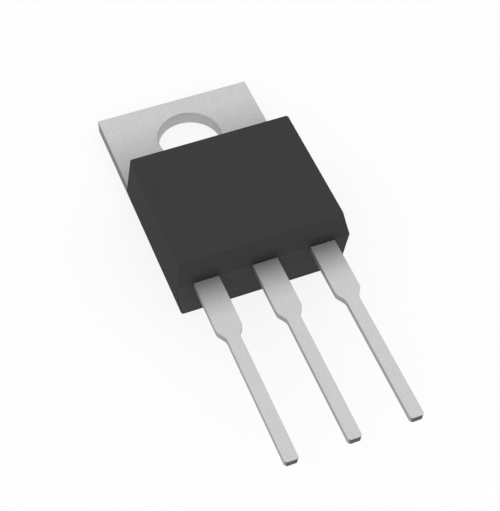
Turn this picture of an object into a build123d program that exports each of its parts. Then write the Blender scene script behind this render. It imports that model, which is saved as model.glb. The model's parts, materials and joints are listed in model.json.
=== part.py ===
from build123d import *
from math import radians, tan
import os

# Power MOSFET in a through-hole package with a screw-down heat-sink tab.
# Millimetres. The origin is on the axis of the mounting hole, in the plane of
# the tab's back, which is the face that sits on the heat sink. +X is to the
# right and +Y runs from the leads to the tab, as seen with the front face (+Z)
# up. Pin 1, the gate, is the lead on the -X side.

# ---------------------------------------------------------------- dimensions

# copper tab
tab_thickness = 0.86
tab_width = 9.69
hole_radius = 1.92
hole_to_tab_end = 3.14
hole_rim_radius = 0.15        # rolled edge that the punch leaves on the front

# moulded body
hole_to_body = 3.18           # hole axis to the body's end wall, at the tab
body_length = 8.91            # at the tab's face, end wall to lead end
body_width = 10.25            # across the parting line
front_depth = 1.40            # leads' fronts to the body's front face
end_parting_height = 1.50     # height of the parting line where it meets the end wall
front_side_draft = 10.9       # degrees at the lead end, from the parting line to the front
back_side_draft = 5.6         # degrees at the lead end, from the parting line to the back
lead_end_front_draft = 18.4   # degrees
lead_end_back_draft = 5.2     # degrees
end_wall_draft = 6.8          # degrees, from the tab's face to the front
body_corner_radius = 0.15

# leads
lead_back_height = 2.48       # heat-sink plane to the back of the leads
lead_thickness = 0.40
lead_pitch = 3.43
lead_length = 11.92           # body to tip
lead_width = 0.765
lead_root_width = 1.46        # wide stretch beside the body
lead_root_length = 3.45
lead_taper_length = 0.55
lead_shoulder_radius = 0.50
lead_tip_chamfer = 0.12

# copper under the die, held in the plastic
pad_setback = 2.70            # body's lead end to the edge of the copper
pad_side_wall = 0.95          # plastic beside the copper, at the back
lock_step = 0.25              # lip along the copper's sides that grips the plastic
lock_thickness = 0.40
riser_angle = 55.0            # drain lead's climb from the pad to the lead plane
riser_bend_radius = 0.45      # at the middle of the strip

# bond posts of the gate and source leads
post_setback = 0.85           # body's lead end to the near edge of the post
post_length = 1.55
post_side_wall = 0.85         # plastic beside the post, at the parting line
post_gap = 0.65               # between a post and the drain lead
post_corner_radius = 0.25
lock_hole_radius = 0.30       # plastic flows through it and holds the post
lock_hole_inset = 0.50        # from the post's outer and near edges

# silicon die and its solder
die_length = 3.80             # along Y
die_width = 4.60
die_thickness = 0.25
die_setback = 1.00            # edge of the pad to the die
solder_thickness = 0.06
solder_margin = 0.15          # fillet of solder that shows around the die

# aluminium bond wires
gate_wire_diameter = 0.15
source_wire_diameter = 0.38
source_wire_count = 2
source_wire_pitch = 0.95
loop_rise = 0.50              # height of a wire's arch over its post
loop_climb = 45.0             # degrees, as the wire leaves its post
bond_foot_length = 2.2        # the three sizes of a foot are in wire diameters
bond_foot_width = 1.35
bond_foot_height = 0.55
wire_facets = 16              # flats that make up a wire's round section
post_bond_inset = 1.00        # middle of the bonds from the post's inner edge
post_bond_edge = 0.48         # and from the edge that faces the die
gate_bond_inset = 0.60        # gate pad from the die's corner, along X and Y
source_bond_inset = 1.60      # middle of the source bonds from the die's near edge
source_bond_offset = 0.40     # and from the die's centre line, along X

# ------------------------------------------------------------ derived places

lead_front_height = lead_back_height + lead_thickness
lead_parting_height = lead_front_height   # here the mould closes on the leads' fronts
body_height = lead_front_height + front_depth

end_wall_y = -hole_to_body
lead_end_y = end_wall_y - body_length
tab_end_y = hole_to_tab_end
lead_tip_y = lead_end_y - lead_length

body_back_width = body_width - 2 * lead_parting_height * tan(radians(back_side_draft))
body_front_width = body_width - 2 * front_depth * tan(radians(front_side_draft))
pad_width = body_back_width - 2 * pad_side_wall
pad_edge_y = lead_end_y + pad_setback
pad_length = end_wall_y - pad_edge_y

die_back_height = tab_thickness + solder_thickness
die_front_height = die_back_height + die_thickness
die_near_y = pad_edge_y + die_setback
die_centre_y = die_near_y + die_length / 2

post_near_y = lead_end_y + post_setback
post_far_y = post_near_y + post_length
post_centre_y = (post_near_y + post_far_y) / 2
post_inner_x = lead_root_width / 2 + post_gap
post_outer_x = body_width / 2 - post_side_wall
post_width = post_outer_x - post_inner_x
post_centre_x = (post_outer_x + post_inner_x) / 2


# ------------------------------------------------------- heat-sink tab, drain

def lead_plane(x):
    """Back face of the leads, with its origin on the centre line of one of them."""
    return Plane(origin=(x, 0, lead_back_height))


def lead_blade(x, root_y):
    """Outline of the lead whose centre line is at x, from root_y out to the tip."""
    shoulder_y = lead_end_y - lead_root_length
    with BuildSketch(lead_plane(x)) as blade:
        with BuildLine():
            Polyline(
                (0, root_y),
                (lead_root_width / 2, root_y),
                (lead_root_width / 2, shoulder_y),
                (lead_width / 2, shoulder_y - lead_taper_length),
                (lead_width / 2, lead_tip_y + lead_tip_chamfer),
                (lead_width / 2 - lead_tip_chamfer, lead_tip_y),
                (0, lead_tip_y),
            )
            mirror(about=Plane.YZ)
        make_face()
        taper_ends, shoulders = blade.vertices().group_by(Axis.Y)[2:4]
        fillet(taper_ends + shoulders, lead_shoulder_radius)
    return blade.sketch


# one piece of copper in two gauges: the thick tab and pad, and the thin drain
# lead, which climbs from the pad to the plane of the other two leads
pad_strip_height = tab_thickness - lead_thickness / 2
lead_strip_height = lead_back_height + lead_thickness / 2
riser_run = (lead_strip_height - pad_strip_height) / tan(radians(riser_angle))
riser_centre_y = (lead_end_y + pad_edge_y) / 2

with BuildPart() as heat_sink_tab:
    with BuildSketch():
        with Locations((0, end_wall_y)):
            Rectangle(tab_width, tab_end_y - end_wall_y, align=(Align.CENTER, Align.MIN))
        Circle(hole_radius, mode=Mode.SUBTRACT)
    extrude(amount=tab_thickness)
    front_rim = heat_sink_tab.edges().filter_by(GeomType.CIRCLE).sort_by(Axis.Z)[-1]
    fillet(front_rim, hole_rim_radius)

    with BuildSketch():
        with Locations((0, end_wall_y)):
            Rectangle(pad_width, pad_length, align=(Align.CENTER, Align.MAX))
    extrude(amount=tab_thickness)
    with BuildSketch(Plane.XY.offset(tab_thickness)):
        with Locations((0, end_wall_y)):
            Rectangle(pad_width + 2 * lock_step, pad_length, align=(Align.CENTER, Align.MAX))
    extrude(amount=-lock_thickness)

    with BuildLine(Plane.YZ) as riser:
        FilletPolyline(
            (pad_edge_y, pad_strip_height),
            (riser_centre_y + riser_run / 2, pad_strip_height),
            (riser_centre_y - riser_run / 2, lead_strip_height),
            (lead_end_y, lead_strip_height),
            radius=riser_bend_radius,
        )
    with BuildSketch(Plane(origin=riser.line @ 0, z_dir=riser.line % 0, x_dir=(1, 0, 0))):
        Rectangle(lead_root_width, lead_thickness)
    sweep(path=riser.line)
    extrude(lead_blade(0, lead_end_y), amount=lead_thickness)

heat_sink_tab.part.label = "heat_sink_tab"


# ------------------------------------------------------ gate and source leads

def signal_lead(side):
    """A lead with its bond post; side is -1 for the gate and +1 for the source."""
    hole_x = side * (post_outer_x - lock_hole_inset)
    hole_y = post_near_y + lock_hole_inset
    with BuildPart() as lead:
        extrude(lead_blade(side * lead_pitch, post_centre_y), amount=lead_thickness)
        with BuildSketch(lead_plane(side * post_centre_x)):
            with Locations((0, post_centre_y)):
                RectangleRounded(post_width, post_length, post_corner_radius)
        extrude(amount=lead_thickness)
        with BuildSketch(lead_plane(hole_x)):
            with Locations((0, hole_y)):
                Circle(lock_hole_radius)
        extrude(amount=lead_thickness, mode=Mode.SUBTRACT)
    return lead.part


gate_lead = signal_lead(-1)
gate_lead.label = "gate_lead"

source_lead = signal_lead(1)
source_lead.label = "source_lead"


# ----------------------------------------------------------- die and its bed

with BuildPart() as die_solder:
    with BuildSketch(Plane.XY.offset(tab_thickness)):
        with Locations((0, die_centre_y)):
            Rectangle(die_width + 2 * solder_margin, die_length + 2 * solder_margin)
    with BuildSketch(Plane.XY.offset(die_back_height)):
        with Locations((0, die_centre_y)):
            Rectangle(die_width, die_length)
    loft()

die_solder.part.label = "die_solder"

with BuildPart() as silicon_die:
    with BuildSketch(Plane.XY.offset(die_back_height)):
        with Locations((0, die_centre_y)):
            Rectangle(die_width, die_length)
    extrude(amount=die_thickness)

silicon_die.part.label = "silicon_die"


# ----------------------------------------------------------------- bond wires

def loop_radii(corners):
    """Bend radius at each corner, as large as the two legs beside it allow."""
    radii = []
    for before, here, after in zip(corners, corners[1:], corners[2:]):
        leg_in = Vector(*here) - Vector(*before)
        leg_out = Vector(*after) - Vector(*here)
        shorter = min(leg_in.length, leg_out.length)
        half_turn = radians(leg_in.get_angle(leg_out)) / 2
        radii.append(0.45 * shorter / tan(half_turn))
    return radii


def bond_wire(post_spot, die_spot, diameter):
    """Wedge-bonded wire: a flattened foot on the post, an arched loop, a foot on the die."""
    start = Vector(*post_spot, lead_front_height)
    end = Vector(*die_spot, die_front_height)
    span = Vector(end.X - start.X, end.Y - start.Y, 0)
    drop = start.Z - end.Z
    lift = bond_foot_height * diameter
    foot = bond_foot_length * diameter
    crest = foot / 2 + loop_rise / tan(radians(loop_climb))
    corners = [
        (0, lift),
        (foot / 2, lift),
        (crest, lift + loop_rise),
        (span.length - foot / 2, lift - drop),
        (span.length, lift - drop),
    ]
    upright = Plane(origin=start, x_dir=span, z_dir=span.cross(Vector(0, 0, 1)))
    with BuildPart() as wire:
        with BuildLine(upright) as loop:
            FilletPolyline(*corners, radius=loop_radii(corners))
        with BuildSketch(Plane(origin=loop.line @ 0, z_dir=loop.line % 0)):
            RegularPolygon(diameter / 2, wire_facets)
        sweep(path=loop.line)
        for spot in (start, end):
            with BuildSketch(Plane(origin=spot, x_dir=span, z_dir=(0, 0, 1))):
                SlotOverall(foot, bond_foot_width * diameter)
            extrude(amount=lift)
    return wire.part


post_bond_x = post_inner_x + post_bond_inset
post_bond_y = post_far_y - post_bond_edge

gate_wire = bond_wire(
    (-post_bond_x, post_bond_y),
    (gate_bond_inset - die_width / 2, die_near_y + gate_bond_inset),
    gate_wire_diameter,
)
gate_wire.label = "gate_wire"

source_wires = []
for index in range(source_wire_count):
    across = (index - (source_wire_count - 1) / 2) * source_wire_pitch
    source_wire = bond_wire(
        (post_bond_x + across, post_bond_y),
        (source_bond_offset + across, die_near_y + source_bond_inset),
        source_wire_diameter,
    )
    source_wire.label = f"source_wire_{index + 1}"
    source_wires.append(source_wire)


# ---------------------------------------------------------------- moulded body

inner_pieces = [heat_sink_tab.part, gate_lead, source_lead]
inner_pieces += [die_solder.part, silicon_die.part, gate_wire, *source_wires]


def body_section(y, parting_height):
    """Cross-section of the body at y, widest at the height of the parting line."""
    with BuildSketch(Plane.XZ.offset(-y)) as section:
        with BuildLine():
            Polyline(
                (0, 0),
                (body_back_width / 2, 0),
                (body_width / 2, parting_height),
                (body_front_width / 2, body_height),
                (0, body_height),
            )
            mirror(about=Plane.YZ)
        make_face()
    return section.sketch


# along the sides the parting line falls from the leads' fronts towards the tab
with BuildPart() as epoxy_body:
    lead_end_section = body_section(lead_end_y, lead_parting_height)
    end_wall_section = body_section(end_wall_y, end_parting_height)
    loft([lead_end_section, end_wall_section], ruled=True)
    with BuildSketch(Plane.YZ):
        with BuildLine():
            Polyline(
                (lead_end_y + lead_parting_height * tan(radians(lead_end_back_draft)), 0),
                (lead_end_y, lead_parting_height),
                (lead_end_y + front_depth * tan(radians(lead_end_front_draft)), body_height),
                (
                    end_wall_y - (body_height - tab_thickness) * tan(radians(end_wall_draft)),
                    body_height,
                ),
                (end_wall_y, tab_thickness),
                (end_wall_y, 0),
                close=True,
            )
        make_face()
    extrude(amount=body_width, both=True, mode=Mode.INTERSECT)
    corner_edges = epoxy_body.edges().filter_by(
        lambda edge: abs(edge.tangent_at(0.5).X) > 0.01 and abs(edge.tangent_at(0.5).Z) > 0.5
    )
    fillet(corner_edges, body_corner_radius)
    for piece in inner_pieces:
        add(piece, mode=Mode.SUBTRACT)

epoxy_body.part.label = "epoxy_body"


# --------------------------------------------------------------------- export

os.makedirs("parts", exist_ok=True)
for piece in [epoxy_body.part, *inner_pieces]:
    export_step(piece, f"parts/{piece.label}.step")
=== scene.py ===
"""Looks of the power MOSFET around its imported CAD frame: matte moulded epoxy and matte tinned copper.

The frame gives every shape. This script gives each node its material, rounds the edges of the outer
nodes a little, and adds the floor, the light and the camera.
"""

import json
import math

import bpy
from mathutils import Matrix, Vector


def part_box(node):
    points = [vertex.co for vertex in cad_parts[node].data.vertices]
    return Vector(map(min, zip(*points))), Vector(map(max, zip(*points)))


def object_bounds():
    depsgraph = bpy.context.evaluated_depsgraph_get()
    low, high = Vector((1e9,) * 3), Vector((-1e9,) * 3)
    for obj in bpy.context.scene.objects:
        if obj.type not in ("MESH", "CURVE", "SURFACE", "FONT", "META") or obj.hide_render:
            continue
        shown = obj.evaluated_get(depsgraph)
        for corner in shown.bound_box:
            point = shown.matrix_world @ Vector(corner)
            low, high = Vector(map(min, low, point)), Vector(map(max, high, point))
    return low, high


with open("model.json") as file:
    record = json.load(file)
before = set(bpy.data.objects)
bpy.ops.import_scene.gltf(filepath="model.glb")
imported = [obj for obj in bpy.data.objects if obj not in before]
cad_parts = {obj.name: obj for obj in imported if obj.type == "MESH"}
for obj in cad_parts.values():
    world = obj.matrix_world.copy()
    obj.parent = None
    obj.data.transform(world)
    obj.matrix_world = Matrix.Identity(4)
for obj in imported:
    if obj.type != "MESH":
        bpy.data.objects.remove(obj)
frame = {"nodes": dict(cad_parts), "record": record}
cad_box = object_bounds()

MM = 0.001

# ------------------------------------------------------------------ places
# In metres, from the CAD nodes' boxes and the record's mounts.

body_low, body_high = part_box("epoxy_body")
gate_low, gate_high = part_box("gate_lead")
mounts = {mount["name"]: mount for mount in frame["record"]["mounts"]}

lead_tip_y = gate_low.y
lead_back_z = gate_low.z
lead_front_z = gate_high.z
lead_end_y = body_low.y        # the moulding's wall that the leads come out of
end_wall_y = body_high.y       # its wall over the tab
lead_pitch = abs(mounts["gate_pin"]["pos_m"][0])
part_centre = (cad_box[0] + cad_box[1]) / 2


# ------------------------------------------------------------ node helpers

class Graph:
    """The node tree of a material or of the world, built up node by node."""

    def __init__(self, tree):
        self.nodes = tree.nodes
        self.links = tree.links

    def add(self, kind, **settings):
        node = self.nodes.new(kind)
        for key, value in settings.items():
            setattr(node, key, value)
        return node

    def wire(self, value, socket):
        """Puts a number, a colour or another node's output into a socket."""
        if isinstance(value, bpy.types.NodeSocket):
            self.links.new(value, socket)
        else:
            socket.default_value = value

    def math(self, operation, first, second=0.0):
        node = self.add("ShaderNodeMath", operation=operation)
        self.wire(first, node.inputs[0])
        self.wire(second, node.inputs[1])
        return node.outputs[0]

    def times(self, first, second):
        return self.math("MULTIPLY", first, second)

    def ramp(self, value, start, end, first=0.0, last=1.0, smooth=True):
        """Goes from first to last as value goes from start to end, which may be the smaller one."""
        node = self.add("ShaderNodeMapRange", interpolation_type="SMOOTHSTEP" if smooth else "LINEAR")
        self.wire(value, node.inputs["Value"])
        limits = {"From Min": start, "From Max": end, "To Min": first, "To Max": last}
        for name, limit in limits.items():
            node.inputs[name].default_value = limit
        return node.outputs["Result"]

    def rescale(self, value, low, high):
        """Carries a 0 to 1 value to the range from low to high."""
        return self.ramp(value, 0.0, 1.0, low, high, smooth=False)

    def axis(self, vector, name):
        node = self.add("ShaderNodeSeparateXYZ")
        self.wire(vector, node.inputs[0])
        return node.outputs[name]

    def background_share(self):
        """1 for rays that show the background: from the camera, and off or through a surface."""
        path = self.add("ShaderNodeLightPath")
        share = path.outputs["Is Camera Ray"]
        for name in ("Is Glossy Ray", "Is Transmission Ray"):
            share = self.math("MAXIMUM", share, path.outputs[name])
        return share


class Material(Graph):
    """A node material with a Principled shader."""

    def __init__(self, name):
        self.material = bpy.data.materials.new(name)
        self.material.use_nodes = True
        super().__init__(self.material.node_tree)
        self.shader = self.nodes["Principled BSDF"]
        self.place = self.add("ShaderNodeTexCoord").outputs["Object"]

    def blend(self, share, first, second):
        """Colour that runs from first to second as share goes from 0 to 1."""
        node = self.add("ShaderNodeMix", data_type="RGBA")
        self.wire(share, node.inputs[0])
        self.wire(first, node.inputs[6])
        self.wire(second, node.inputs[7])
        return node.outputs[2]

    def noise(self, size, stretch=(1, 1, 1), detail=3.0, roughness=0.5):
        """Noise whose lumps are about size metres across, drawn out by stretch along each axis."""
        mapping = self.add("ShaderNodeMapping")
        self.wire(self.place, mapping.inputs["Vector"])
        mapping.inputs["Scale"].default_value = [1 / (size * factor) for factor in stretch]
        node = self.add("ShaderNodeTexNoise")
        self.wire(mapping.outputs[0], node.inputs["Vector"])
        node.inputs["Scale"].default_value = 1.0
        node.inputs["Detail"].default_value = detail
        node.inputs["Roughness"].default_value = roughness
        return node.outputs["Fac"]

    def cells(self, size):
        """Distance to the nearest cell's middle, in cell widths; cells are about size metres across."""
        node = self.add("ShaderNodeTexVoronoi")
        self.wire(self.place, node.inputs["Vector"])
        node.inputs["Scale"].default_value = 1 / size
        return node.outputs["Distance"]

    def bump(self, height, distance, strength, under=None):
        """Bump from a 0 to 1 height that stands for distance metres."""
        node = self.add("ShaderNodeBump")
        node.inputs["Strength"].default_value = strength
        node.inputs["Distance"].default_value = distance
        self.wire(height, node.inputs["Height"])
        if under is not None:
            self.wire(under, node.inputs["Normal"])
        return node.outputs["Normal"]

    def set(self, **values):
        """Sets the shader's own sockets; an underscore in a name stands for a space."""
        for name, value in values.items():
            self.wire(value, self.shader.inputs[name.replace("_", " ")])


def grey(level):
    return (level, level, level, 1.0)


# ------------------------------------------------------------ the moulding
# Greys are shares of the light that a surface throws back. Shades are shares of its grey that are lost
# to painted shade.

EPOXY_GREYS = (0.0384, 0.0461) # the two ends of its faint clouds
SPECK_GREY = 0.075
SPECK_SHARE = 0.5              # share of that grey in the middle of a speck
SPECK_CELL = 0.16 * MM         # how far apart the specks are
SPECK_EDGE = (0.16, 0.06)      # where a speck starts and is full, in such cells from its middle
END_SHADE = 0.13               # painted shade of the lead end above its parting line
LEAD_SHADE = 0.45              # more painted shade, a painted contact shadow right over each lead
LEAD_HALO = (1.0 * MM, 0.6 * MM)   # distances from a lead's centre line between which it sets in
LEAD_FADE = 0.6 * MM           # height above the leads at which it has gone
SIDE_SHADE = 0.26              # painted shade of the long sides below their parting line
FOOT_GREY = 0.080              # painted light: the paler grey that the lead end turns to below its parting line,
FOOT_SHARES = (0.08, 0.42)     # by these shares at the leads' backs and near its foot
FOOT_DROP = 2.0 * MM           # how far below the leads' backs the second share is reached

# A face comes to count as facing that way as its normal goes from the first value to the second.
FACES_DOWN = (0.02, -0.02)
FACES_LEADS = (-0.60, -0.80)
FACES_SIDEWAYS = (0.60, 0.80)


def epoxy_painted_shade_and_light(m):
    """How much painted shade and how much painted light the moulding gets, by place.

    As in the photograph, the lead end gets painted shade above its parting line, most of all right over
    the leads as a painted contact shadow, and painted light makes it paler towards its foot. The long
    sides get painted shade below their parting line.
    """
    normal = m.add("ShaderNodeNewGeometry").outputs["Normal"]
    facing_down = m.ramp(m.axis(normal, "Z"), *FACES_DOWN)
    lead_end = m.ramp(m.axis(normal, "Y"), *FACES_LEADS)
    long_side = m.ramp(m.math("ABSOLUTE", m.axis(normal, "X")), *FACES_SIDEWAYS)
    end_below = m.times(lead_end, facing_down)
    end_above = m.math("SUBTRACT", lead_end, end_below)
    side_below = m.times(long_side, facing_down)

    z = m.axis(m.place, "Z")
    from_centre_lead = m.math("ABSOLUTE", m.axis(m.place, "X"))
    from_outer_lead = m.math("ABSOLUTE", m.math("SUBTRACT", from_centre_lead, lead_pitch))
    from_lead = m.math("MINIMUM", from_centre_lead, from_outer_lead)
    over_lead = m.ramp(from_lead, *LEAD_HALO)
    just_above = m.ramp(z, lead_front_z + LEAD_FADE, lead_front_z, smooth=False)
    over_lead = m.times(m.times(over_lead, just_above), end_above)

    # painted shade
    darker = m.math("ADD", m.times(end_above, END_SHADE), m.times(side_below, SIDE_SHADE))
    darker = m.math("ADD", darker, m.times(over_lead, LEAD_SHADE))
    # painted light towards the foot of the lead end
    foot = m.ramp(z, lead_back_z, lead_back_z - FOOT_DROP)
    paler = m.times(end_below, m.rescale(foot, *FOOT_SHARES))
    return darker, paler


def moulded_epoxy():
    """Charcoal moulding compound: spark-eroded grain of the mould, filler specks, faint clouds."""
    m = Material("moulded_epoxy")
    cloud = m.noise(2.4 * MM, detail=2.0)
    grain = m.noise(0.09 * MM, detail=4.0, roughness=0.65)
    speck = m.ramp(m.cells(SPECK_CELL), *SPECK_EDGE)
    darker, paler = epoxy_painted_shade_and_light(m)
    colour = m.blend(cloud, grey(EPOXY_GREYS[0]), grey(EPOXY_GREYS[1]))
    colour = m.blend(m.times(speck, SPECK_SHARE), colour, grey(SPECK_GREY))
    # painted shade, then painted light, over the moulding's own colour
    colour = m.blend(darker, colour, grey(0.0))
    colour = m.blend(paler, colour, grey(FOOT_GREY))
    m.set(
        Base_Color=colour,
        Roughness=m.rescale(grain, 0.86, 0.98),
        Specular_IOR_Level=0.10,
        Normal=m.bump(grain, 0.014 * MM, 0.8),
    )
    return m.material


# ------------------------------------------------------- the tinned copper

PLATE_GREYS = (0.585, 0.635)   # the two ends of the plate's clouds
ROLLING_LINE = (0.540, 0.30)   # grey, and its share in a line
BRIGHT_FLAKE = (0.70, 0.20)    # grey, and its share in a flake
DARK_FLAKE = (0.50, 0.20)
LEAD_SIDE = 0.34               # greys of the sheared sides, darker where they are rough and partly painted shade on these upright faces
# painted shade: a far darker grey for the tab's sides, low by the floor
TAB_SIDE_SHADED = 0.165
# painted light: a paler grey for the hole's wall, which faces the light in front
HOLE_WALL_LIT = 0.54
SIDE_SHARE = 0.90              # share of those greys in a side's colour
SIDE_DROP = 0.5 * MM           # how far below the leads' backs a side is wholly the tab's
HOLE_REACH = (2.6 * MM, 2.2 * MM)  # distances from the hole's axis between which its wall sets in
CUT_TIP = 0.09
CUT_DEPTH = (0.10 * MM, 0.02 * MM) # distances from the tips between which that grey sets in
PAINTED_SHADE_DEPTH = 0.45                 # painted shade of the plate right next to the moulding, as the moulding shades it
ROOT_FADE = (2.8 * MM, 0.3 * MM)   # distances from the moulding where a lead's painted shade has gone and where it is full
TAB_FADE = 5.0 * MM            # distance from the moulding where the tab's painted shade has gone
SLACK = 0.01 * MM              # this far inside the moulding, the plate still counts as outside

# A face comes to count as such as its normal goes from the first value to the second.
SHEARED = (0.75, 0.35)         # size of the normal's upright part
CUT = (-0.45, -0.80)           # its part along the leads
NOT_THE_BACK = (-0.6, -0.2)    # its upright part


def painted_plate_shade(m, y, facing_up):
    """1 where the plate's painted shade is fullest, next to the moulding, fading along the leads' roots
    and the tab.
    """
    root = m.ramp(y, lead_end_y - ROOT_FADE[0], lead_end_y - ROOT_FADE[1])
    root = m.times(root, m.math("LESS_THAN", y, lead_end_y + SLACK))
    tab = m.ramp(y, end_wall_y + TAB_FADE, end_wall_y, smooth=False)
    tab = m.times(tab, m.math("GREATER_THAN", y, end_wall_y - SLACK))
    tab = m.times(tab, m.ramp(facing_up, *NOT_THE_BACK))
    return m.math("ADD", root, tab)


def distance_from_hole(m):
    """Distance from the axis of the tab's hole, which is the frame's upright axis."""
    flat_place = m.add("ShaderNodeVectorMath", operation="MULTIPLY")
    m.wire(m.place, flat_place.inputs[0])
    flat_place.inputs[1].default_value = (1, 1, 0)
    length = m.add("ShaderNodeVectorMath", operation="LENGTH")
    m.wire(flat_place.outputs[0], length.inputs[0])
    return length.outputs["Value"]


def tinned_copper():
    """Matte tin plate: cloudy crystals, rolling lines along the strip, sheared sides partly with
    painted shade and light, dark cut tips, and painted shade next to the moulding.
    """
    m = Material("tinned_copper")
    normal = m.add("ShaderNodeNewGeometry").outputs["Normal"]
    facing_up = m.axis(normal, "Z")
    y = m.axis(m.place, "Y")
    z = m.axis(m.place, "Z")
    sheared = m.ramp(m.math("ABSOLUTE", facing_up), *SHEARED)
    near_tip = m.ramp(y, lead_tip_y + CUT_DEPTH[0], lead_tip_y + CUT_DEPTH[1])
    cut = m.times(near_tip, m.ramp(m.axis(normal, "Y"), *CUT))
    hole_wall = m.ramp(distance_from_hole(m), *HOLE_REACH)
    below_leads = m.ramp(z, lead_back_z, lead_back_z - SIDE_DROP)
    tab_side = m.times(below_leads, m.math("SUBTRACT", 1.0, hole_wall))
    # painted shade on the tab's sides, painted light on the hole's wall
    side = m.blend(tab_side, grey(LEAD_SIDE), grey(TAB_SIDE_SHADED))
    side = m.blend(hole_wall, side, grey(HOLE_WALL_LIT))

    cloud = m.noise(0.9 * MM, detail=4.0, roughness=0.6)
    crystal = m.noise(0.07 * MM, detail=3.0, roughness=0.6)
    lines = m.noise(0.05 * MM, stretch=(1, 60, 1), detail=3.0)
    flake = m.noise(0.16 * MM, detail=2.0, roughness=0.6)
    colour = m.blend(cloud, grey(PLATE_GREYS[0]), grey(PLATE_GREYS[1]))
    marks = (
        (lines, ROLLING_LINE),
        (m.ramp(flake, 0.40, 0.62), BRIGHT_FLAKE),
        (m.ramp(flake, 0.50, 0.32), DARK_FLAKE),
    )
    for where, (level, share) in marks:
        colour = m.blend(m.times(where, share), colour, grey(level))
    colour = m.blend(m.times(sheared, SIDE_SHARE), colour, side)
    colour = m.blend(cut, colour, grey(CUT_TIP))
    # painted shade next to the moulding, where the moulding shades the plate
    colour = m.blend(m.times(painted_plate_shade(m, y, facing_up), PAINTED_SHADE_DEPTH), colour, grey(0.0))
    m.set(
        Base_Color=colour,
        Metallic=0.75,
        Roughness=m.math("ADD", m.rescale(crystal, 0.40, 0.52), m.times(sheared, 0.12)),
        Normal=m.bump(crystal, 0.0022 * MM, 0.5, under=m.bump(lines, 0.0016 * MM, 0.5)),
    )
    return m.material


# ------------------------------------------------------- inside the package

CELL_WAVE = 0.12 * MM          # the chip's rows of cells repeat every 2 pi times this
WAVE_RADIANS = 20              # what Blender's wave texture goes through in one unit of its own scale


def polished_silicon():
    """The chip: dark, glossy, with the fine cell rows of a power transistor."""
    m = Material("polished_silicon")
    rows = m.add("ShaderNodeTexWave", wave_type="BANDS", bands_direction="X")
    m.wire(m.place, rows.inputs["Vector"])
    rows.inputs["Scale"].default_value = 1 / CELL_WAVE / WAVE_RADIANS
    m.set(
        Base_Color=m.blend(rows.outputs["Fac"], (0.10, 0.105, 0.12, 1), (0.16, 0.165, 0.18, 1)),
        Metallic=0.3,
        Roughness=m.rescale(m.noise(0.3 * MM), 0.16, 0.26),
    )
    return m.material


def dull_solder():
    """Soft solder that has set between chip and pad, with low lumps."""
    m = Material("dull_solder")
    lumps = m.noise(0.25 * MM, detail=4.0)
    m.set(
        Base_Color=m.blend(lumps, grey(0.30), grey(0.42)),
        Metallic=0.9,
        Roughness=m.rescale(lumps, 0.38, 0.55),
        Normal=m.bump(lumps, 0.01 * MM, 0.6),
    )
    return m.material


def drawn_aluminium():
    """Bond wire, with the fine lines along it that drawing leaves."""
    m = Material("drawn_aluminium")
    lines = m.noise(0.04 * MM, stretch=(1, 20, 20))
    m.set(
        Base_Color=m.blend(lines, grey(0.68), grey(0.80)),
        Metallic=1.0,
        Roughness=m.rescale(lines, 0.26, 0.38),
        Normal=m.bump(lines, 0.002 * MM, 0.4),
    )
    return m.material


FINISHES = {
    "moulding_compound": moulded_epoxy(),
    "tinned_copper": tinned_copper(),
    "silicon": polished_silicon(),
    "solder": dull_solder(),
    "bond_wire": drawn_aluminium(),
}

for part in frame["record"]["subparts"]:
    node = frame["nodes"][part["node"]]
    node.data.materials.clear()
    node.data.materials.append(FINISHES[part["material_slot"]])


# ------------------------------------------------------------- soft edges

WELD = 0.0005 * MM             # corners of faces nearer to each other than this are one corner
MOULDED_EDGE = 0.07 * MM
MOULDED_ANGLE = 28             # degrees; much more leaves a gap at a lower corner
METAL_EDGE = 0.045 * MM
METAL_ANGLE = 60               # degrees; the small faces of the hole's rolled rim meet at up to 42


def soften(name, radius, angle):
    """Rounds the edges of a node whose faces meet at more than the angle, in degrees."""
    node = frame["nodes"][name]
    weld = node.modifiers.new("weld", "WELD")
    weld.merge_threshold = WELD
    bevel = node.modifiers.new("edge_round", "BEVEL")
    bevel.limit_method = "ANGLE"
    bevel.angle_limit = math.radians(angle)
    bevel.width = radius
    bevel.segments = 3
    bevel.use_clamp_overlap = True
    bevel.harden_normals = True


soften("epoxy_body", MOULDED_EDGE, MOULDED_ANGLE)
for name in ("heat_sink_tab", "gate_lead", "source_lead"):
    soften(name, METAL_EDGE, METAL_ANGLE)


# ------------------------------------------------------------------- floor

FLOOR_GREYS = (0.90, 0.92)     # the two ends of the paper's clouds
FLOOR_GLOW = 0.84              # share of plain white in what the camera sees of it
FLOOR_HALF = 0.8               # metres from its middle to each side
FLOOR_GAP = 0.002 * MM         # between the part and the floor


def pale_floor():
    """A wide white sheet under the part, on which the part's shadow stays faint."""
    low, high = -FLOOR_HALF, FLOOR_HALF
    mesh = bpy.data.meshes.new("floor")
    corners = [(low, low, 0), (high, low, 0), (high, high, 0), (low, high, 0)]
    mesh.from_pydata(corners, [], [(0, 1, 2, 3)])
    floor = bpy.data.objects.new("floor", mesh)
    floor.location.z = cad_box[0].z - FLOOR_GAP
    bpy.context.scene.collection.objects.link(floor)

    m = Material("floor_paper")
    paper = m.noise(6 * MM, detail=2.0)
    m.set(
        Base_Color=m.blend(paper, grey(FLOOR_GREYS[0]), grey(FLOOR_GREYS[1])),
        Roughness=0.9,
        Specular_IOR_Level=0.0,
    )
    glow = m.add("ShaderNodeEmission")
    glow.inputs["Color"].default_value = grey(1.0)
    mix = m.add("ShaderNodeMixShader")
    m.wire(m.times(m.background_share(), FLOOR_GLOW), mix.inputs["Fac"])
    m.wire(m.shader.outputs[0], mix.inputs[1])
    m.wire(glow.outputs[0], mix.inputs[2])
    m.wire(mix.outputs[0], m.nodes["Material Output"].inputs["Surface"])
    mesh.materials.append(m.material)


pale_floor()


# ------------------------------------------------------------------ lights

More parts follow.
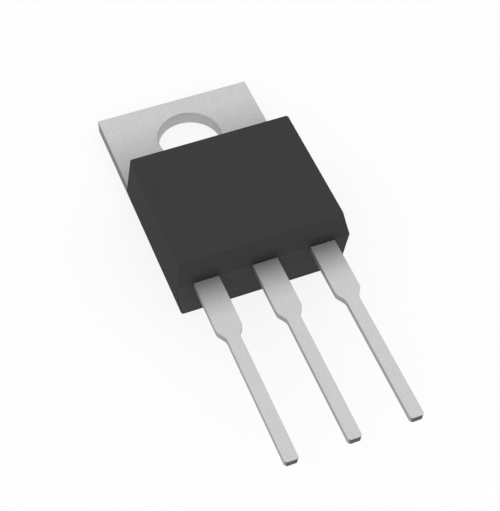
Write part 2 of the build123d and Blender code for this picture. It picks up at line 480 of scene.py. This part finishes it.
TENT_EVEN = 0.40               # light that every part of the tent gives
TENT_WALLS = 0.70              # more light from its sloping walls
WALL_FOOT = (0.05, 0.35)       # sines of the elevations between which that light sets in
WALL_HEAD = (0.80, 0.95)       # and between which it ends, around the opening for the camera

SOFTBOX_SIDE = 0.20            # metres
SOFTBOX_DISTANCE = 0.22        # metres from the part's middle
SOFTBOX_POWER = 0.16           # watts
SOFTBOX_DIRECTION = (-0.25, -0.90, 0.60)


def light_tent():
    """A world that lights the part like a white tent, mostly from the sides, and shows plain white."""
    world = bpy.data.worlds.new("light_tent")
    world.use_nodes = True
    bpy.context.scene.world = world
    tree = Graph(world.node_tree)
    height = tree.axis(tree.add("ShaderNodeTexCoord").outputs["Generated"], "Z")
    walls = tree.times(
        tree.ramp(height, *WALL_FOOT, 0.0, TENT_WALLS),
        tree.ramp(height, *WALL_HEAD, 1.0, 0.0),
    )
    light = tree.math("ADD", walls, TENT_EVEN)
    shown = tree.background_share()
    hidden = tree.times(light, tree.math("SUBTRACT", 1.0, shown))
    background = tree.nodes["Background"]
    background.inputs["Color"].default_value = grey(1.0)
    tree.wire(tree.math("ADD", hidden, shown), background.inputs["Strength"])


def softbox():
    """A square of soft light in front of the leads, on the gate's side. It shows in no reflection."""
    lamp = bpy.data.lights.new("key_softbox", "AREA")
    lamp.size = SOFTBOX_SIDE
    lamp.energy = SOFTBOX_POWER
    lamp_object = bpy.data.objects.new("key_softbox", lamp)
    aim = Vector(SOFTBOX_DIRECTION).normalized()
    lamp_object.location = part_centre + aim * SOFTBOX_DISTANCE
    lamp_object.rotation_mode = "QUATERNION"
    lamp_object.rotation_quaternion = aim.to_track_quat("Z", "Y")
    lamp_object.visible_glossy = False
    bpy.context.scene.collection.objects.link(lamp_object)


light_tent()
softbox()


# ------------------------------------------------------------------ camera
# It looks down on the lead end, a little from the gate's side.

AZIMUTH = -22.63               # degrees, as are the next two
ELEVATION = 52.03
ROLL = 1.053
FOCAL_PIXELS = 1333.3          # focal length, in pixels of the picture
PICTURE_LONG_SIDE = 511        # pixels; the sensor's width covers this side
SENSOR_WIDTH = 36.0            # millimetres, as Blender states it
DISTANCE = 74.1 * MM
AIM_OFFSET = Vector((-0.40, -0.45, 0.0)) * MM      # aim, from the middle of the part's box


def place_camera():
    camera = bpy.data.cameras.new("camera")
    camera.sensor_width = SENSOR_WIDTH
    camera.lens = FOCAL_PIXELS * SENSOR_WIDTH / PICTURE_LONG_SIDE
    camera.clip_start = 1 * MM
    camera.clip_end = 10.0
    camera_object = bpy.data.objects.new("camera", camera)
    azimuth = math.radians(AZIMUTH)
    elevation = math.radians(ELEVATION)
    back = Vector((
        math.sin(azimuth) * math.cos(elevation),
        -math.cos(azimuth) * math.cos(elevation),
        math.sin(elevation),
    ))
    turn = back.to_track_quat("Z", "Y").to_matrix() @ Matrix.Rotation(math.radians(ROLL), 3, "Z")
    camera_object.matrix_world = Matrix.LocRotScale(
        part_centre + AIM_OFFSET + back * DISTANCE, turn.to_quaternion(), None
    )
    bpy.context.scene.collection.objects.link(camera_object)
    bpy.context.scene.camera = camera_object


place_camera()
bpy.context.scene.view_settings.view_transform = "Standard"
